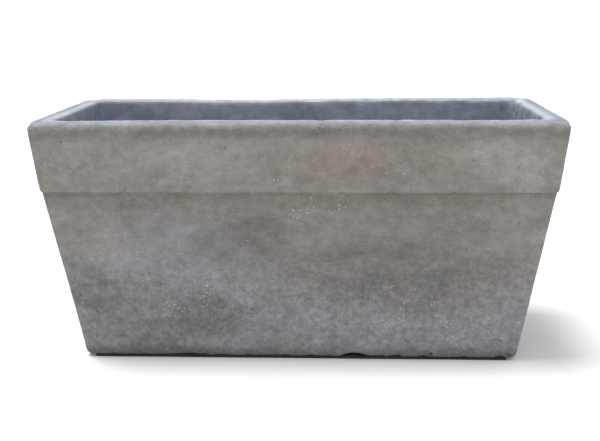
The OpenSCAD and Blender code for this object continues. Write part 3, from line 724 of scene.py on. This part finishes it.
def clear_plastic():
    """Slightly hazed clear plastic with scale lines every 10 mm beside the pointer's travel."""
    material, tree, shader, coordinates = start_material("clear_plastic")
    place = coordinates.outputs["Object"]
    z = height_of(tree, place)
    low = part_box("level_pointer")[0].z
    beat = calc(tree, "FRACT", times(tree, calc(tree, "SUBTRACT", z, low), 100.0))
    line = times(tree, step(tree, beat, 0.10, 0.07), step(tree, z, low + 0.0595, low + 0.0590),
                 step(tree, z, low - 0.0010, low - 0.0005))
    haze = cloud(tree, place, 90.0, 4.0, 0.6)
    colour = blend(tree, step(tree, haze, 0.40, 0.70), (0.66, 0.72, 0.74), (0.74, 0.77, 0.77))
    colour = blend(tree, line, colour, (0.02, 0.03, 0.05))
    tree.links.new(colour, shader.inputs["Base Color"])
    tree.links.new(step(tree, haze, 0.35, 0.72, 0.06, 0.22), shader.inputs["Roughness"])
    solid = largest(tree, times(tree, line, 0.95), step(tree, haze, 0.40, 0.75, 0.17, 0.34))
    tree.links.new(solid, shader.inputs["Alpha"])
    tree.links.new(bump(tree, haze, 0.00006, 0.4), shader.inputs["Normal"])
    shader.inputs["IOR"].default_value = 1.55
    return material


def drawn_steel():
    """Stainless wire with fine lines along Y."""
    material, tree, shader, coordinates = start_material("pin_steel")
    place = coordinates.outputs["Object"]
    lines = cloud(tree, stretched(tree, place, (1.0, 0.04, 1.0)), 2400.0, 3.0, 0.6)
    clouds = cloud(tree, place, 180.0, 3.0, 0.6)
    colour = blend(tree, step(tree, lines, 0.3, 0.7), (0.50, 0.50, 0.49), (0.66, 0.66, 0.65))
    tree.links.new(colour, shader.inputs["Base Color"])
    tree.links.new(step(tree, clouds, 0.35, 0.65, 0.22, 0.38), shader.inputs["Roughness"])
    tree.links.new(bump(tree, lines, 0.00004, 0.4), shader.inputs["Normal"])
    shader.inputs["Metallic"].default_value = 1.0
    return material


def bead_foam():
    """Off-white foam of small pressed beads, darker in the seams between them."""
    material, tree, shader, coordinates = start_material("float_foam")
    place = coordinates.outputs["Object"]
    cells = add(tree, "TexVoronoi", {"Vector": place, "Scale": 330.0}, feature="DISTANCE_TO_EDGE")
    beads = cells.outputs[0]
    clouds = cloud(tree, place, 60.0, 3.0, 0.6)
    colour = blend(tree, step(tree, beads, 0.0, 0.10), (0.50, 0.48, 0.42), (0.74, 0.73, 0.67))
    colour = blend(tree, step(tree, clouds, 0.50, 0.72, 0.0, 0.4), colour, (0.56, 0.53, 0.44))
    tree.links.new(colour, shader.inputs["Base Color"])
    tree.links.new(step(tree, clouds, 0.3, 0.7, 0.70, 0.85), shader.inputs["Roughness"])
    tree.links.new(bump(tree, step(tree, beads, 0.0, 0.14), 0.0003, 0.7), shader.inputs["Normal"])
    return material


def needled_fleece():
    """Grey-white geotextile with tangled fibres, needle holes and soil marks."""
    material, tree, shader, coordinates = start_material("filter_fleece")
    place = coordinates.outputs["Object"]
    fibres = cloud(tree, stretched(tree, place, (1.0, 0.16, 1.0)), 1500.0, 3.0, 0.7, 1.6)
    across = cloud(tree, stretched(tree, place, (0.16, 1.0, 1.0)), 1500.0, 3.0, 0.7, 1.6)
    clouds = cloud(tree, place, 20.0, 5.0, 0.65)
    needles = add(tree, "TexVoronoi", {"Vector": place, "Scale": 420.0, "Randomness": 0.6})
    holes = needles.outputs[0]
    tangle = largest(tree, fibres, across)
    colour = blend(tree, step(tree, tangle, 0.45, 0.75), (0.33, 0.335, 0.33), (0.50, 0.505, 0.49))
    colour = blend(tree, step(tree, clouds, 0.47, 0.70, 0.0, 0.55), colour, (0.20, 0.165, 0.12))
    colour = blend(tree, step(tree, holes, 0.16, 0.06, 0.0, 0.45), colour, (0.16, 0.155, 0.14))
    tree.links.new(colour, shader.inputs["Base Color"])
    tree.links.new(step(tree, clouds, 0.3, 0.7, 0.86, 0.97), shader.inputs["Roughness"])
    tree.links.new(bump(tree, tangle, 0.0005, 0.8), shader.inputs["Normal"])
    shader.inputs["Sheen Weight"].default_value = 0.25
    return material


WELD_DISTANCE = 2e-6
SOFT_EDGE = 0.0003


def dress_frame():
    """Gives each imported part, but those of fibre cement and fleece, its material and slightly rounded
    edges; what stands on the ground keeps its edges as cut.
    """
    special = {"tube_plastic": extruded_pipe, "clear_plastic": clear_plastic,
               "pin_steel": drawn_steel, "float_foam": bead_foam}
    made = {}
    for part in frame["record"]["subparts"]:
        slot, piece = part["material_slot"], frame["nodes"][part["node"]]
        if slot in ("fibre_cement", "filter_fleece"):
            continue
        if slot not in made:
            made[slot] = special[slot]() if slot in special else moulded(slot)
        if not piece.material_slots:
            piece.data.materials.append(None)
        piece.material_slots[0].link = "OBJECT"
        piece.material_slots[0].material = made[slot]
        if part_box(part["node"])[0].z < 0.001:
            continue    # the strips' edges stay as cut, on the ground
        weld = piece.modifiers.new("weld", "WELD")
        weld.merge_threshold = WELD_DISTANCE
        soften = piece.modifiers.new("bevel", "BEVEL")
        soften.width = SOFT_EDGE
        soften.segments = 2
        soften.limit_method = "ANGLE"
        soften.angle_limit = math.radians(40)
        soften.use_clamp_overlap = True


# ---- The root fleece ----

FLEECE_THICKNESS = 0.0014
FLEECE_STEP = 0.007
FLEECE_CORNER = 0.012
FLEECE_REST = 0.0003     # the sheet's underside above the deck
FOLD_HEIGHT = 0.0016
RIDGE_HEIGHT = 0.0009
# The gap that each cut-out leaves round the part that passes through it
CUT_OUTS = (("wick_basket_left", 0.0012), ("wick_basket_middle", 0.0012),
            ("wick_basket_right", 0.0012), ("fill_tube", 0.0062), ("gauge_base", 0.0012))


def middle_of(node):
    low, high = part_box(node)
    return (low.x + high.x) / 2, (low.y + high.y) / 2, (high.x - low.x) / 2


def loop(cx, cy, r, count):
    return [(cx + r * math.cos(2 * math.pi * k / count), cy + r * math.sin(2 * math.pi * k / count))
            for k in range(count)]


def build_fleece():
    """A sheet of geotextile laid on the soil deck, cut out round what passes through it."""
    low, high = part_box("root_fleece")
    half_x, half_y = (high.x - low.x) / 2, (high.y - low.y) / 2
    holes = []
    for node, margin in CUT_OUTS:
        x, y, r = middle_of(node)
        holes.append((x, y, r + margin))

    def outline_at(x, y):
        """How far a point lies inside the sheet's rounded outline."""
        dx = abs(x) - (half_x - FLEECE_CORNER)
        dy = abs(y) - (half_y - FLEECE_CORNER)
        return FLEECE_CORNER - math.hypot(max(dx, 0.0), max(dy, 0.0)) - min(max(dx, dy), 0.0)

    edge = []
    for corner in range(4):
        cx = CORNER_X[corner] * (half_x - FLEECE_CORNER)
        cy = CORNER_Y[corner] * (half_y - FLEECE_CORNER)
        for i in range(7):
            a = math.pi / 2 * (corner + i / 6)
            edge.append((cx + FLEECE_CORNER * math.cos(a), cy + FLEECE_CORNER * math.sin(a)))
        following = (corner + 1) % 4
        a = math.pi / 2 * (corner + 1)
        end = (CORNER_X[following] * (half_x - FLEECE_CORNER) + FLEECE_CORNER * math.cos(a),
               CORNER_Y[following] * (half_y - FLEECE_CORNER) + FLEECE_CORNER * math.sin(a))
        start = edge[-1]
        steps = max(2, round(math.dist(start, end) / FLEECE_STEP))
        edge += [tuple(a + (b - a) * k / steps for a, b in zip(start, end))
                 for k in range(1, steps)]
    loops = [edge]
    loops += [loop(x, y, r, max(20, round(2 * math.pi * r / 0.006))) for x, y, r in holes]
    flat, borders = [], []
    for ring in loops:
        first = len(flat)
        flat += ring
        borders += [(first + k, first + (k + 1) % len(ring)) for k in range(len(ring))]
    row, y = 0, -half_y + FLEECE_STEP * 0.7
    while y < half_y - FLEECE_STEP * 0.4:
        x = -half_x + FLEECE_STEP * (0.7 if row % 2 else 1.2)
        while x < half_x - FLEECE_STEP * 0.4:
            gaps = [math.dist((x, y), hole[:2]) - hole[2] for hole in holes]
            clear = min([outline_at(x, y)] + gaps)
            if clear > FLEECE_STEP * 0.5:
                flat.append((x, y))
            x += FLEECE_STEP
        row += 1
        y += FLEECE_STEP * 0.87
    made = geometry.delaunay_2d_cdt([Vector(p) for p in flat], borders, [], 0, 1e-7)
    flat = [tuple(v) for v in made[0]]
    faces, area = [], 0.0
    for triangle in made[2]:
        corners = [flat[i] for i in triangle]
        cx, cy = (sum(c[k] for c in corners) / 3 for k in (0, 1))
        inside = outline_at(cx, cy) > 0
        if inside and all(math.dist((cx, cy), hole[:2]) > hole[2] * 0.9985 for hole in holes):
            (ax, ay), (bx, by), (dx, dy) = corners
            area += abs((bx - ax) * (dy - ay) - (dx - ax) * (by - ay)) / 2
            faces.append(tuple(triangle))

    base = low.z + FLEECE_THICKNESS + FLEECE_REST
    points = np.array([(x, y, base) for x, y in flat])
    folds = FOLD_HEIGHT * smoothstep(rough(points, 0.10, 3, 3.0), 0.15, 0.65)
    ridges = RIDGE_HEIGHT * smoothstep(1.0 - np.abs(rough(points, 0.16, 2, 12.0)), 0.90, 1.0)
    points[:, 2] += folds + ridges + 0.0002 * np.abs(rough(points, 0.012, 2, 21.0))
    sheet = mesh_object("fleece", points, faces)
    thick = sheet.modifiers.new("thickness", "SOLIDIFY")
    thick.thickness = FLEECE_THICKNESS
    thick.offset = -1.0
    apply_modifiers(sheet)
    sheet.data.shade_smooth()
    sheet.data.set_sharp_from_angle(angle=math.radians(50))
    sheet.data.materials.clear()
    sheet.data.materials.append(needled_fleece())
    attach(sheet, "insert")
    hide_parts("root_fleece")


# ---- Stage, lights and camera ----

FLOOR_HALF = 60.0
BACKDROP_RADIUS, BACKDROP_HEIGHT, BACKDROP_SIDES = 50.0, 14.0, 48
SUN_FROM, SUN_SPREAD, SUN_ENERGY = (-0.26, 0.0, 1.0), 27.0, 3.1
FRONT_LIGHT_PLACE, FRONT_LIGHT_AIM = (1.3, -3.4, 1.7), (0.0, 0.0, 0.25)

# The camera that fits the photograph's outline
LENS, SENSOR = 55.55, 36.0
CAMERA_PLACE = (0.0769, -1.5041, 0.5560)
CAMERA_TURN, CAMERA_DOWN, CAMERA_ROLL = 3.016, 13.350, -0.554    # degrees


def build_floor():
    """A plain pale floor."""
    half = FLOOR_HALF
    corners = [(-half, -half, 0), (half, -half, 0), (half, half, 0), (-half, half, 0)]
    floor = mesh_object("floor", corners, [(0, 1, 2, 3)])
    material, _, shader, _ = start_material("floor")
    shader.inputs["Base Color"].default_value = (0.88, 0.875, 0.87, 1.0)
    shader.inputs["Roughness"].default_value = 0.9
    floor.data.materials.append(material)


def build_backdrop():
    """A bright ring round the floor."""
    n = BACKDROP_SIDES
    ring = loop(0.0, 0.0, BACKDROP_RADIUS, n)
    points = [(x, y, z) for z in (0.0, BACKDROP_HEIGHT) for x, y in ring]
    faces = [(k, (k + 1) % n, n + (k + 1) % n, n + k) for k in range(n)]
    backdrop = mesh_object("backdrop", points, faces)
    material, _, shader, _ = start_material("backdrop")
    shader.inputs["Base Color"].default_value = (0.3, 0.3, 0.3, 1.0)
    shader.inputs["Emission Color"].default_value = (1.0, 1.0, 1.0, 1.0)
    shader.inputs["Emission Strength"].default_value = 0.95
    backdrop.data.materials.append(material)


def build_lights():
    """A pale sky, a wide soft light from above and a weak light from the front."""
    world = bpy.data.worlds.new("studio")
    world.use_nodes = True
    background = world.node_tree.nodes["Background"]
    background.inputs[0].default_value = (0.94, 0.975, 1.0, 1.0)
    background.inputs[1].default_value = 0.70
    bpy.context.scene.world = world

    sun = bpy.data.lights.new("overhead", "SUN")
    sun.energy = SUN_ENERGY
    sun.angle = math.radians(SUN_SPREAD)
    sun.color = (1.0, 0.99, 0.98)
    overhead = new_object("overhead", sun)
    overhead.rotation_euler = Vector(SUN_FROM).to_track_quat("Z", "Y").to_euler()

    data = bpy.data.lights.new("front", "AREA")
    data.shape = "RECTANGLE"
    data.size, data.size_y = 2.2, 1.6
    data.energy = 12.0
    data.color = (1.0, 0.985, 0.96)
    light = new_object("front", data)
    light.location = FRONT_LIGHT_PLACE
    towards = Vector(FRONT_LIGHT_AIM) - Vector(FRONT_LIGHT_PLACE)
    light.rotation_euler = towards.to_track_quat("-Z", "Y").to_euler()


def build_camera():
    """A camera a little right of the middle, looking slightly left and down."""
    data = bpy.data.cameras.new("camera")
    data.sensor_width = SENSOR
    data.lens = LENS
    camera = new_object("camera", data)
    turn, down, roll = (math.radians(a) for a in (CAMERA_TURN, CAMERA_DOWN, CAMERA_ROLL))
    aim = (Matrix.Rotation(turn, 4, "Z") @ Matrix.Rotation(math.pi / 2 - down, 4, "X")
           @ Matrix.Rotation(roll, 4, "Z"))
    camera.matrix_world = Matrix.Translation(CAMERA_PLACE) @ aim
    bpy.context.scene.camera = camera


bpy.context.scene.view_settings.view_transform = "Standard"
build_camera()
build_floor()
build_backdrop()
build_lights()
dress_frame()
build_trough()
build_fleece()

bpy.context.view_layer.update()
